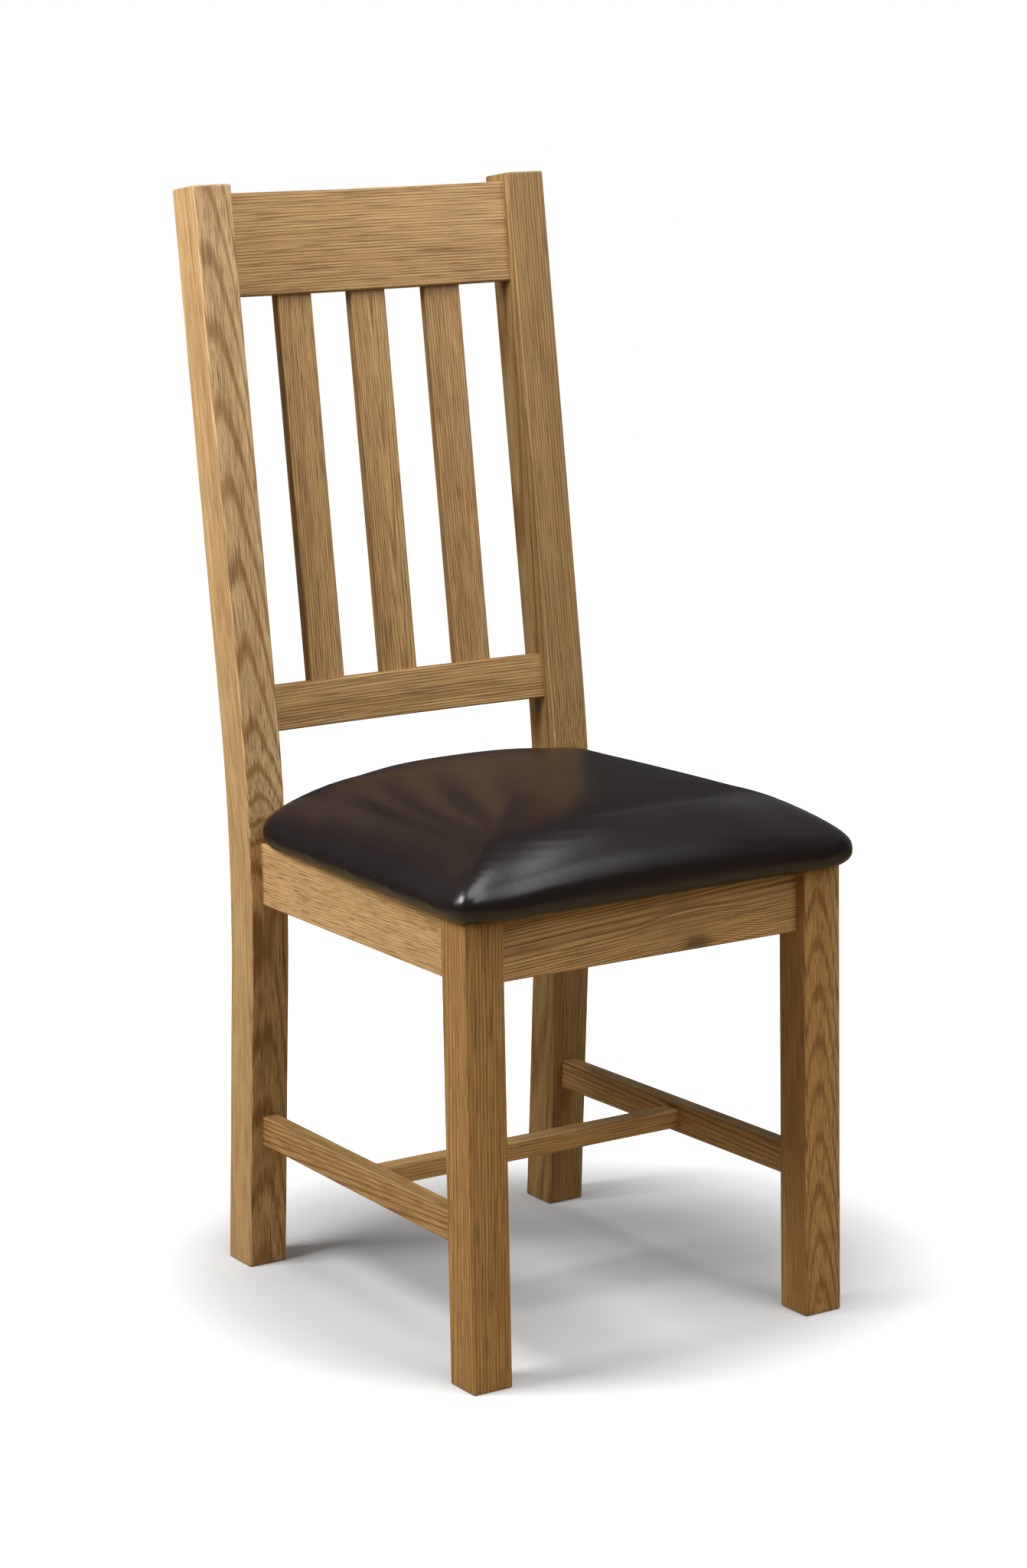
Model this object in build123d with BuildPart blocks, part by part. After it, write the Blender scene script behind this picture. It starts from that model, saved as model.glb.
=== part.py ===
from build123d import *
from math import asin, atan, cos, radians, sin, sqrt, tan
import os

os.makedirs("parts", exist_ok=True)

# An oak dining chair: a mortised frame with a raked, slatted back and an upholstered pad
# screwed down on the seat rails. X is across, +Y to the rear, Z up, and the origin is on
# the floor under the middle of the chair. Lengths are millimetres, angles degrees.

# Frame
HEIGHT = 1076.0  # floor to the front edge of the post tops
FRONT_WIDTH = 416.0  # over the front legs
REAR_WIDTH = 399.5  # over the rear posts
SEAT_DEPTH = 414.5  # front of the front legs to the most forward point of the posts
LEG_SECTION = 41.5
POST_WIDTH = 41.5
POST_DEPTH = 44.5
LEG_SPLAY = 4.6  # backward lean of the posts below the seat
BACK_RAKE = 6.9  # backward lean of the posts above the seat
BEND_HEIGHT = 432.0  # where the two straight stretches of a post would cross
BEND_RADIUS = 1330.0  # along the middle of the post
ARRIS = 2.0  # rounding of every worked edge

# Seat frame
SEAT_FRAME_HEIGHT = 439.5
RAIL_HEIGHT = 62.0
RAIL_THICKNESS = 20.0
RAIL_INSET = 13.0  # rails lie this far inside the faces of the legs

# Stretchers
STRETCHER_LEVEL = 143.5
STRETCHER_HEIGHT = 30.0
STRETCHER_THICKNESS = 18.0
STRETCHER_INSET = 12.5
CROSS_SETBACK = 233.0  # front of the front legs to the middle of the cross stretcher
CROSS_HEIGHT = 19.0
CROSS_THICKNESS = 20.0

# Back, with heights taken along the rake from the floor
POST_RISE = 8.0  # posts above the top rail
TOP_RAIL_HEIGHT = 100.0
LOWER_RAIL_LEVEL = 570.0
LOWER_RAIL_HEIGHT = 45.0
BACK_RAIL_THICKNESS = 20.0
BACK_BOW = 9.0  # how far the rails curve back half way between the posts
SLAT_COUNT = 3
SLAT_SPACING = 85.0
SLAT_WIDTH = 40.0
SLAT_THICKNESS = 12.0
SLAT_SETBACK = 3.2  # slats lie this far behind the middle of the rails

# Joints
TENON_THICKNESS = 8.0
TENON_SHOULDER = 5.0  # step at the top and bottom of a tenon
TENON_LAND = 2.0  # wood left between two tenons that meet in one leg
SLAT_TENON_THICKNESS = 7.0
SLAT_TENON_LENGTH = 12.0
FIT = 0.15  # room round a tenon, a shank or a staple leg
END_ROOM = 0.5  # room past the end of a tenon or a screw

# Corner blocks and screws
BLOCK_HEIGHT = 30.0
BLOCK_DROP = 2.0  # blocks stop short of the top of the rails
BLOCK_REACH = 55.0
BLOCK_ROOM = 0.4  # between a block and the leg it goes round
SCREW_DIAMETER = 4.5
SCREW_HEAD_DIAMETER = 8.5
LEG_BITE = 16.0  # block screw in the leg
BOARD_BITE = 8.0  # seat screw in the board
SEAT_SCREW_OUT = 30.0  # from the leg along the front or rear rail
SEAT_SCREW_IN = 12.0  # from that rail towards the middle

# Seat pad
PAD_FRONT_WIDTH = 444.0
PAD_REAR_WIDTH = 399.0
PAD_OVERHANG = 20.0  # past the front legs
PAD_ROOM = 5.0  # between the pad and the posts
PAD_EDGE = 16.0  # height of the widest line above the rails
PAD_DRAW_IN = 14.0  # how far the edge is drawn in beneath
PAD_CROWN = 65.0  # rise of the middle above the widest line
PAD_CORNER = 25.0
DOME_ACROSS = (2.94, 0.57)  # exponents of the crown's curve from side to side
DOME_ALONG = (4.65, 0.29)  # and from front to rear
DOME_ROUNDING = 0.8  # share of the half width that rounds the corners near the top
DOME_STEPS = 12
EDGE_STEPS = 3
COVER_THICKNESS = 1.5
FOAM_ROOM = 0.3
BOARD_THICKNESS = 12.0
BOARD_INSET = 17.0  # from the widest line of the pad
FLAP_WIDTH = 70.0  # turned-under edge of the cover
LINING_THICKNESS = 0.8
LINING_ROOM = 2.0  # between the lining and the legs
LINING_INSET = 25.0  # from the rear edge of the pad
STAPLE_CROWN = 10.0
STAPLE_WIRE = 1.0
STAPLE_BITE = 6.0
STAPLE_EDGE = 6.0  # from the edge of the lining
STAPLES_PER_SIDE = 5
STAPLE_SPACING = 36.0

SIDES = (("left", -1), ("right", 1))
splay = radians(LEG_SPLAY)
rake = radians(BACK_RAKE)

# The front line of a post, measured from the front of the chair, and the same line at the back
front_radius = BEND_RADIUS + POST_DEPTH / 2
bow = front_radius * (cos((splay - rake) / 2) / cos((splay + rake) / 2) - 1)
top_reach = (HEIGHT - BEND_HEIGHT) * tan(rake)
rear_reach = SEAT_DEPTH - bow + top_reach + POST_DEPTH * cos(rake)
rounding_loss = ARRIS * (cos(rake) + sin(rake) - 1)
front_y = (PAD_OVERHANG - rear_reach + rounding_loss) / 2
leg_back = front_y + LEG_SECTION
post_front = front_y + SEAT_DEPTH
bend = Vector(post_front - bow, BEND_HEIGHT)
mitre = POST_DEPTH / (1 + cos(splay + rake))
back_bend = bend + Vector(cos(splay) + cos(rake), sin(splay) - sin(rake)) * mitre
front_foot = Vector(bend.X + BEND_HEIGHT * tan(splay), 0)
back_foot = Vector(front_foot.X + POST_DEPTH / cos(splay), 0)
front_top = Vector(bend.X + top_reach, HEIGHT)
back_top = front_top + Vector(cos(rake), -sin(rake)) * POST_DEPTH
post_inner = REAR_WIDTH / 2 - POST_WIDTH
leg_inner = FRONT_WIDTH / 2 - LEG_SECTION

# The sloping plane through the middle of the back, with its own Y up along the rake
back_start = bend.X + POST_DEPTH / 2 / cos(rake) - BEND_HEIGHT * tan(rake)
back_plane = Plane((0, back_start, 0), x_dir=(1, 0, 0), z_dir=(0, -cos(rake), sin(rake)))

post_top = (front_top.X - back_start) * sin(rake) + HEIGHT * cos(rake)
top_rail_level = post_top - POST_RISE - TOP_RAIL_HEIGHT / 2
bow_radius = (post_inner**2 + BACK_BOW**2) / 2 / BACK_BOW

rail_level = SEAT_FRAME_HEIGHT - RAIL_HEIGHT / 2
rail_bottom = SEAT_FRAME_HEIGHT - RAIL_HEIGHT
front_rail_y = front_y + RAIL_INSET + RAIL_THICKNESS / 2
rear_rail_y = post_front + POST_DEPTH / 2
stretcher_seat = front_foot.X - (STRETCHER_LEVEL + STRETCHER_HEIGHT / 2) * tan(splay)
tenon_length = LEG_SECTION - RAIL_INSET - RAIL_THICKNESS / 2 - TENON_THICKNESS / 2 - TENON_LAND
slat_places = [(n - (SLAT_COUNT - 1) / 2) * SLAT_SPACING for n in range(SLAT_COUNT)]
slat_bottom = LOWER_RAIL_LEVEL + LOWER_RAIL_HEIGHT / 2
slat_top = top_rail_level - TOP_RAIL_HEIGHT / 2


def side_line(y, inset):
    """Half width, at depth y, of a face that lies `inset` inside the outer faces of the legs."""
    share = (y - leg_back) / (post_front - leg_back)
    return (FRONT_WIDTH + share * (REAR_WIDTH - FRONT_WIDTH)) / 2 - inset


def seat_across(half_width, y, z, sign):
    """Shoulder of a rail that runs across, facing out towards its leg."""
    return Plane((sign * half_width, y, z), x_dir=(0, 1, 0), z_dir=(sign, 0, 0))


def seat_along(x, y, z, way):
    """Shoulder of a side rail, facing forward for way -1 and to the rear for way 1."""
    return Plane((x, y, z), x_dir=(1, 0, 0), z_dir=(0, way, 0))


def seat_on_post(level, sign):
    """Shoulder of a back rail on the inner face of a post, square to the rake."""
    middle = back_plane.from_local_coords((sign * post_inner, level, 0))
    return Plane(middle, x_dir=back_plane.z_dir, z_dir=(sign, 0, 0))


def slat_plane(x):
    """The middle of a slat, set behind the middle line of the curved rails and square to it."""
    turn = asin(x / bow_radius)
    across = back_plane.x_dir * cos(turn) + back_plane.z_dir * sin(turn)
    forward = back_plane.z_dir * cos(turn) - back_plane.x_dir * sin(turn)
    depth = sqrt(bow_radius**2 - x**2) - bow_radius + BACK_BOW
    middle = back_plane.from_local_coords((x, 0, -depth)) - forward * SLAT_SETBACK
    return Plane(middle, x_dir=across, z_dir=forward)


def seat_of_slat(x, level, way):
    """End of a slat, facing up along the rake for way 1 and down for way -1."""
    plane = slat_plane(x)
    return Plane(plane.from_local_coords((0, level, 0)), x_dir=plane.x_dir, z_dir=plane.y_dir * way)


def tenon(seat, wide, tall, length):
    """Adds a tenon that stands out of a shoulder."""
    with BuildSketch(seat) as section:
        Rectangle(wide, tall)
    extrude(section.sketch, amount=length)


def mortise(seat, wide, tall, length):
    """Cuts the mortise for the tenon of the same sizes."""
    with BuildSketch(seat) as section:
        Rectangle(wide + 2 * FIT, tall + 2 * FIT)
    extrude(section.sketch, amount=length + END_ROOM, mode=Mode.SUBTRACT)


def screw_hole(mouth, length):
    """Cuts the hole for a screw of that length, countersunk where its head goes."""
    with Locations(mouth):
        CounterSinkHole(SCREW_DIAMETER / 2 + FIT, SCREW_HEAD_DIAMETER / 2 + FIT, length + END_ROOM)


def screw(mouth, length):
    """Adds one countersunk wood screw whose head is flush with the plane `mouth`."""
    head = (SCREW_HEAD_DIAMETER - SCREW_DIAMETER) / 2
    with BuildSketch(Plane(mouth.origin, x_dir=mouth.x_dir, z_dir=mouth.y_dir)) as section:
        with BuildLine():
            Polyline(
                (0, 0),
                (SCREW_HEAD_DIAMETER / 2, 0),
                (SCREW_DIAMETER / 2, head),
                (SCREW_DIAMETER / 2, length - SCREW_DIAMETER),
                (0, length),
                close=True,
            )
        make_face()
    revolve(section.sketch, axis=Axis(mouth.origin, -mouth.z_dir))


rail_tenon = (TENON_THICKNESS, RAIL_HEIGHT - 2 * TENON_SHOULDER, tenon_length)
stretcher_tenon = (TENON_THICKNESS, STRETCHER_HEIGHT - 2 * TENON_SHOULDER, tenon_length)
slat_tenon = (SLAT_WIDTH - 2 * TENON_SHOULDER, SLAT_TENON_THICKNESS, SLAT_TENON_LENGTH)
cross_tenon = (TENON_THICKNESS, CROSS_HEIGHT - 2 * TENON_SHOULDER, STRETCHER_THICKNESS / 2)


def side_seats(level, inset, thickness, rear_y):
    """Front and rear shoulders of the side rails or stretchers, by the side they are on."""
    seats = {}
    for side, sign in SIDES:
        front_x = sign * (side_line(leg_back, inset) - thickness / 2)
        rear_x = sign * (side_line(rear_y, inset) - thickness / 2)
        seats[side] = (seat_along(front_x, leg_back, level, -1), seat_along(rear_x, rear_y, level, 1))
    return seats


rail_seats = side_seats(rail_level, RAIL_INSET, RAIL_THICKNESS, post_front)
stretcher_seats = side_seats(STRETCHER_LEVEL, STRETCHER_INSET, STRETCHER_THICKNESS, stretcher_seat)

# Corner blocks: each goes round the inner corner of a leg, with one screw into that leg and
# one up into the seat board
block_top = SEAT_FRAME_HEIGHT - BLOCK_DROP
block_bottom = block_top - BLOCK_HEIGHT
seat_screw_length = BLOCK_HEIGHT + BLOCK_DROP + COVER_THICKNESS + BOARD_BITE
CORNERS = [(end, way, side, sign) for end, way in (("front", 1), ("rear", -1)) for side, sign in SIDES]


def block_corner(way, sign):
    """Inner corner of a leg, in plan, with the room that the block keeps from it."""
    if way > 0:
        return sign * (leg_inner - BLOCK_ROOM), leg_back + BLOCK_ROOM
    return sign * (post_inner - BLOCK_ROOM), post_front - BLOCK_ROOM


def rail_face(way):
    """Inner face of the front or the rear seat rail."""
    return (front_rail_y if way > 0 else rear_rail_y) + way * RAIL_THICKNESS / 2


def block_points(way, sign):
    """Plan of a block: round the leg, along the cross rail, over to the side rail and back."""
    corner_x, corner_y = block_corner(way, sign)
    far_y = corner_y + way * BLOCK_REACH
    return [
        (corner_x, corner_y),
        (corner_x, rail_face(way)),
        (corner_x - sign * BLOCK_REACH, rail_face(way)),
        (sign * side_line(far_y, RAIL_INSET + RAIL_THICKNESS), far_y),
        (sign * side_line(corner_y, RAIL_INSET + RAIL_THICKNESS), corner_y),
    ]


def block_screw_place(way, sign):
    """Head of the screw in the middle of the block's long face, and its length."""
    points = [Vector(*p) for p in block_points(way, sign)]
    middle = (points[2] + points[3]) * 0.5
    corner = points[0]
    inward = (middle - corner).normalized()
    mouth = Plane((middle.X, middle.Y, block_bottom + BLOCK_HEIGHT / 2), z_dir=(inward.X, inward.Y, 0))
    return mouth, (middle - corner).length + LEG_BITE


def seat_screw_place(way, sign):
    """Head of the upright screw, on the underside of the block."""
    x = block_corner(way, sign)[0] - sign * SEAT_SCREW_OUT
    return Plane((x, rail_face(way) + way * SEAT_SCREW_IN, block_bottom), z_dir=(0, 0, -1))


# Front legs
for side, sign in SIDES:
    with BuildPart() as front_leg:
        with BuildSketch(Plane.XY):
            with Locations((sign * (FRONT_WIDTH - LEG_SECTION) / 2, front_y + LEG_SECTION / 2)):
                Rectangle(LEG_SECTION, LEG_SECTION)
        extrude(amount=SEAT_FRAME_HEIGHT)
        fillet(front_leg.edges().group_by(Axis.Z)[0] + front_leg.edges().filter_by(Axis.Z), ARRIS)
        mortise(seat_across(leg_inner, front_rail_y, rail_level, sign), *rail_tenon)
        mortise(rail_seats[side][0], *rail_tenon)
        mortise(stretcher_seats[side][0], *stretcher_tenon)
        screw_hole(*block_screw_place(1, sign))
    front_leg.part.label = f"front_leg_{side}"
    export_step(front_leg.part, f"parts/front_leg_{side}.step")

# Rear posts, bent at the seat and carried up to the top rail
for side, sign in SIDES:
    with BuildPart() as rear_post:
        with BuildSketch(Plane.YZ.offset(sign * post_inner)):
            with BuildLine():
                front = FilletPolyline(front_foot, bend, front_top, radius=front_radius)
                back = FilletPolyline(back_foot, back_bend, back_top, radius=front_radius - POST_DEPTH)
                Line(front @ 0, back @ 0)
                Line(front @ 1, back @ 1)
            make_face()
        extrude(amount=sign * POST_WIDTH)
        fillet(rear_post.edges(), ARRIS)
        mortise(seat_across(post_inner, rear_rail_y, rail_level, sign), *rail_tenon)
        mortise(rail_seats[side][1], *rail_tenon)
        mortise(stretcher_seats[side][1], *stretcher_tenon)
        for level, height in ((top_rail_level, TOP_RAIL_HEIGHT), (LOWER_RAIL_LEVEL, LOWER_RAIL_HEIGHT)):
            mortise(seat_on_post(level, sign), TENON_THICKNESS, height - 2 * TENON_SHOULDER, tenon_length)
        screw_hole(*block_screw_place(-1, sign))
    rear_post.part.label = f"rear_post_{side}"
    export_step(rear_post.part, f"parts/rear_post_{side}.step")

# Front and rear seat rails
for end, y, half_span in (("front", front_rail_y, leg_inner), ("rear", rear_rail_y, post_inner)):
    with BuildPart() as seat_rail:
        with BuildSketch(Plane.YZ):
            with Locations((y, rail_level)):
                Rectangle(RAIL_THICKNESS, RAIL_HEIGHT)
        extrude(amount=half_span, both=True)
        fillet(seat_rail.edges().filter_by(Axis.X), ARRIS)
        for side, sign in SIDES:
            tenon(seat_across(half_span, y, rail_level, sign), *rail_tenon)
    seat_rail.part.label = f"{end}_seat_rail"
    export_step(seat_rail.part, f"parts/{end}_seat_rail.step")


def side_bar(piece, sign, bottom, height, inset, thickness):
    """A bar from a front leg to the post behind it, cut there to the post's front line."""
    rear = post_front + POST_DEPTH
    with BuildSketch(Plane.XY.offset(bottom)) as plan:
        with BuildLine():
            Polyline(
                (sign * side_line(leg_back, inset), leg_back),
                (sign * side_line(rear, inset), rear),
                (sign * side_line(rear, inset + thickness), rear),
                (sign * side_line(leg_back, inset + thickness), leg_back),
                close=True,
            )
        make_face()
    extrude(plan.sketch, amount=height)
    fillet(piece.edges().sort_by(SortBy.LENGTH)[-4:], ARRIS)
    with BuildSketch(Plane.YZ) as behind:
        with BuildLine():
            front = FilletPolyline(front_foot, bend, front_top, radius=front_radius)
            Polyline(front @ 1, (back_top.X, HEIGHT), (back_top.X, 0), front @ 0)
        make_face()
    extrude(behind.sketch, amount=FRONT_WIDTH, both=True, mode=Mode.SUBTRACT)


# Side seat rails
for side, sign in SIDES:
    with BuildPart() as side_rail:
        side_bar(side_rail, sign, rail_bottom, RAIL_HEIGHT, RAIL_INSET, RAIL_THICKNESS)
        for seat in rail_seats[side]:
            tenon(seat, *rail_tenon)
    side_rail.part.label = f"side_seat_rail_{side}"
    export_step(side_rail.part, f"parts/side_seat_rail_{side}.step")

# Side stretchers, and the cross stretcher that ties them together half way back
cross_y = front_y + CROSS_SETBACK
cross_slope = (FRONT_WIDTH - REAR_WIDTH) / 2 / (post_front - leg_back)
cross_half = side_line(cross_y, STRETCHER_INSET + STRETCHER_THICKNESS)
for side, sign in SIDES:
    with BuildPart() as side_stretcher:
        bottom = STRETCHER_LEVEL - STRETCHER_HEIGHT / 2
        side_bar(side_stretcher, sign, bottom, STRETCHER_HEIGHT, STRETCHER_INSET, STRETCHER_THICKNESS)
        for seat in stretcher_seats[side]:
            tenon(seat, *stretcher_tenon)
        mortise(seat_across(cross_half, cross_y, STRETCHER_LEVEL, sign), *cross_tenon)
    side_stretcher.part.label = f"side_stretcher_{side}"
    export_step(side_stretcher.part, f"parts/side_stretcher_{side}.step")

with BuildPart() as cross_stretcher:
    with BuildSketch(Plane.XY.offset(STRETCHER_LEVEL - CROSS_HEIGHT / 2)):
        with BuildLine():
            wide = cross_half + cross_slope * CROSS_THICKNESS / 2
            narrow = cross_half - cross_slope * CROSS_THICKNESS / 2
            near = cross_y - CROSS_THICKNESS / 2
            far = cross_y + CROSS_THICKNESS / 2
            Polyline((-wide, near), (wide, near), (narrow, far), (-narrow, far), close=True)
        make_face()
    extrude(amount=CROSS_HEIGHT)
    fillet(cross_stretcher.edges().filter_by(Axis.X), ARRIS)
    for side, sign in SIDES:
        tenon(seat_across(cross_half, cross_y, STRETCHER_LEVEL, sign), *cross_tenon)
cross_stretcher.part.label = "cross_stretcher"
export_step(cross_stretcher.part, "parts/cross_stretcher.step")

# Top rail and lower back rail, curved back between the posts and mortised for the slats
for name, level, height, slat_end, way in (
    ("top_rail", top_rail_level, TOP_RAIL_HEIGHT, slat_top, 1),
    ("lower_back_rail", LOWER_RAIL_LEVEL, LOWER_RAIL_HEIGHT, slat_bottom, -1),
):
    with BuildPart() as back_rail:
        under = back_plane.from_local_coords((0, level - height / 2, 0))
        half = BACK_RAIL_THICKNESS / 2
        with BuildSketch(Plane(under, x_dir=(1, 0, 0), z_dir=back_plane.y_dir)):
            with BuildLine():
                front = ThreePointArc((-post_inner, -half), (0, BACK_BOW - half), (post_inner, -half))
                back = ThreePointArc((-post_inner, half), (0, BACK_BOW + half), (post_inner, half))
                Line(front @ 0, back @ 0)
                Line(front @ 1, back @ 1)
            make_face()
        extrude(amount=height)
        fillet(back_rail.edges().sort_by(SortBy.LENGTH)[-4:], ARRIS)
        for side, sign in SIDES:
            tenon(seat_on_post(level, sign), TENON_THICKNESS, height - 2 * TENON_SHOULDER, tenon_length)
        for x in slat_places:
            mortise(seat_of_slat(x, slat_end, way), *slat_tenon)
    back_rail.part.label = name
    export_step(back_rail.part, f"parts/{name}.step")

# Back slats
for number, x in enumerate(slat_places, 1):
    with BuildPart() as back_slat:
        with BuildSketch(slat_plane(x)):
            with Locations((0, (slat_bottom + slat_top) / 2)):
                Rectangle(SLAT_WIDTH, slat_top - slat_bottom)
        extrude(amount=SLAT_THICKNESS / 2, both=True)
        fillet(back_slat.edges().sort_by(SortBy.LENGTH)[-4:], ARRIS)
        tenon(seat_of_slat(x, slat_top, 1), *slat_tenon)
        tenon(seat_of_slat(x, slat_bottom, -1), *slat_tenon)
    back_slat.part.label = f"back_slat_{number}"
    export_step(back_slat.part, f"parts/back_slat_{number}.step")

# Corner blocks
for end, way, side, sign in CORNERS:
    with BuildPart() as corner_block:
        with BuildSketch(Plane.XY.offset(block_bottom)):
            with BuildLine():
                Polyline(*block_points(way, sign), close=True)
            make_face()
        extrude(amount=BLOCK_HEIGHT)
        screw_hole(*block_screw_place(way, sign))
        screw_hole(seat_screw_place(way, sign), seat_screw_length)
    corner_block.part.label = f"corner_block_{end}_{side}"
    export_step(corner_block.part, f"parts/corner_block_{end}_{side}.step")

with BuildPart() as block_screws:
    for end, way, side, sign in CORNERS:
        screw(*block_screw_place(way, sign))
block_screws.part.label = "block_screws"
export_step(block_screws.part, "parts/block_screws.step")

with BuildPart() as seat_screws:
    for end, way, side, sign in CORNERS:
        screw(seat_screw_place(way, sign), seat_screw_length)
seat_screws.part.label = "seat_screws"
export_step(seat_screws.part, "parts/seat_screws.step")

# Seat pad: the cover, the foam and the board share one outline, drawn in by an inset
pad_near = front_y - PAD_OVERHANG
pad_far = post_front - PAD_ROOM
pad_middle = (pad_near + pad_far) / 2
pad_half_depth = (pad_far - pad_near) / 2
board_bottom = SEAT_FRAME_HEIGHT + COVER_THICKNESS


def pad_outline(share_x, share_y, inset, corner):
    """Rounded trapezium, as shares of the pad's widest line, drawn in by an inset."""
    near_half = PAD_FRONT_WIDTH / 2 * share_x - inset
    far_half = PAD_REAR_WIDTH / 2 * share_x - inset
    reach = pad_half_depth * share_y - inset
    with BuildLine() as edge:
        Polyline(
            (-near_half, pad_middle - reach),
            (near_half, pad_middle - reach),
            (far_half, pad_middle + reach),
            (-far_half, pad_middle + reach),
            close=True,
        )
    outline = make_face(edge.edges())
    fillet(outline.vertices(), corner)


def pad_form(wall, mode=Mode.ADD):
    """The crowned pad, or the hollow that lies `wall` inside its surface."""
    sections = []
    for step in range(EDGE_STEPS + 1):
        turn = radians(90 * step / EDGE_STEPS)
        level = SEAT_FRAME_HEIGHT + wall + (PAD_EDGE - wall) * (1 - cos(turn))
        with BuildSketch(Plane.XY.offset(level)) as section:
            pad_outline(1, 1, wall + PAD_DRAW_IN * (1 - sin(turn)), PAD_CORNER - wall)
        sections.append(section.sketch.face())
    for step in range(1, DOME_STEPS):
        rise = sin(radians(90 * step / DOME_STEPS))
        share_x = (1 - rise ** (1 / DOME_ACROSS[1])) ** (1 / DOME_ACROSS[0])
        share_y = (1 - rise ** (1 / DOME_ALONG[1])) ** (1 / DOME_ALONG[0])
        corner = PAD_CORNER * (1 - rise) + DOME_ROUNDING * PAD_REAR_WIDTH / 2 * share_x * rise**2
        level = SEAT_FRAME_HEIGHT + PAD_EDGE + (PAD_CROWN - wall) * rise
        with BuildSketch(Plane.XY.offset(level)) as section:
            pad_outline(share_x, share_y, wall, corner - wall)
        sections.append(section.sketch.face())
    loft(sections, ruled=True, mode=mode)


# The lining under the seat, and the staples that hold it and the cover's edge to the board
lining_near = leg_back + LINING_ROOM
lining_far = pad_far - LINING_INSET
lining_near_half = leg_inner - LINING_ROOM
lining_far_half = post_inner - LINING_ROOM
lining_bottom = SEAT_FRAME_HEIGHT - LINING_THICKNESS
lining_turn = atan((lining_near_half - lining_far_half) / (lining_far - lining_near))
lining_middle_half = (lining_near_half + lining_far_half) / 2 - STAPLE_EDGE / cos(lining_turn)
staple_run = [(n - (STAPLES_PER_SIDE - 1) / 2) * STAPLE_SPACING for n in range(STAPLES_PER_SIDE)]
staple_places = []
for along in staple_run:
    staple_places.append((along, lining_near + STAPLE_EDGE, 0))
    staple_places.append((along, lining_far - STAPLE_EDGE, 0))
    for side, sign in SIDES:
        across = lining_middle_half - along * tan(lining_turn)
        staple_places.append((sign * across, (lining_near + lining_far) / 2 + along, 90))


def staple_holes():
    """Cuts the slits that the staple legs make on their way up into the board."""
    for x, y, turn in staple_places:
        with BuildSketch(Plane((x, y, lining_bottom)).rotated((0, 0, turn))) as slits:
            with GridLocations(STAPLE_CROWN - STAPLE_WIRE, 0, 2, 1):
                Rectangle(STAPLE_WIRE + 2 * FIT, STAPLE_WIRE + 2 * FIT)
        reach = LINING_THICKNESS + COVER_THICKNESS + STAPLE_BITE + END_ROOM
        extrude(slits.sketch, amount=reach, mode=Mode.SUBTRACT)


def seat_screw_holes(bottom, reach):
    """Cuts the holes for the seat screws, from the height `bottom` up."""
    for end, way, side, sign in CORNERS:
        place = seat_screw_place(way, sign).origin
        with BuildSketch(Plane((place.X, place.Y, bottom))) as hole:
            Circle(SCREW_DIAMETER / 2 + FIT)
        extrude(hole.sketch, amount=reach, mode=Mode.SUBTRACT)


with BuildPart() as seat_board:
    with BuildSketch(Plane.XY.offset(board_bottom)):
        pad_outline(1, 1, BOARD_INSET, PAD_CORNER)
    extrude(amount=BOARD_THICKNESS)
    staple_holes()
    seat_screw_holes(board_bottom, BOARD_BITE + END_ROOM)
seat_board.part.label = "seat_board"
export_step(seat_board.part, "parts/seat_board.step")

with BuildPart() as seat_foam:
    pad_form(COVER_THICKNESS + FOAM_ROOM)
    with BuildSketch(Plane.XY.offset(SEAT_FRAME_HEIGHT)):
        pad_outline(1, 1, BOARD_INSET, PAD_CORNER)
    extrude(amount=COVER_THICKNESS + BOARD_THICKNESS, mode=Mode.SUBTRACT)
seat_foam.part.label = "seat_foam"
export_step(seat_foam.part, "parts/seat_foam.step")

with BuildPart() as seat_cover:
    pad_form(0)
    pad_form(COVER_THICKNESS, Mode.SUBTRACT)
    with BuildSketch(Plane.XY.offset(SEAT_FRAME_HEIGHT)):
        pad_outline(1, 1, FLAP_WIDTH, PAD_CORNER)
    extrude(amount=COVER_THICKNESS, mode=Mode.SUBTRACT)
    staple_holes()
    seat_screw_holes(SEAT_FRAME_HEIGHT, COVER_THICKNESS)
seat_cover.part.label = "seat_cover"
export_step(seat_cover.part, "parts/seat_cover.step")

with BuildPart() as seat_lining:
    with BuildSketch(Plane.XY.offset(lining_bottom)):
        with BuildLine():
            Polyline(
                (-lining_near_half, lining_near),
                (lining_near_half, lining_near),
                (lining_far_half, lining_far),
                (-lining_far_half, lining_far),
                close=True,
            )
        make_face()
    extrude(amount=LINING_THICKNESS)
    staple_holes()
    seat_screw_holes(lining_bottom, LINING_THICKNESS)
seat_lining.part.label = "seat_lining"
export_step(seat_lining.part, "parts/seat_lining.step")

with BuildPart() as lining_staples:
    for x, y, turn in staple_places:
        level = lining_bottom - STAPLE_WIRE
        leg = STAPLE_WIRE + LINING_THICKNESS + COVER_THICKNESS + STAPLE_BITE
        seat = Plane((x, y, level)).rotated((0, 0, turn))
        with BuildSketch(seat):
            Rectangle(STAPLE_CROWN, STAPLE_WIRE)
        extrude(amount=STAPLE_WIRE)
        with BuildSketch(seat):
            with GridLocations(STAPLE_CROWN - STAPLE_WIRE, 0, 2, 1):
                Rectangle(STAPLE_WIRE, STAPLE_WIRE)
        extrude(amount=leg)
lining_staples.part.label = "lining_staples"
export_step(lining_staples.part, "parts/lining_staples.step")
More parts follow.
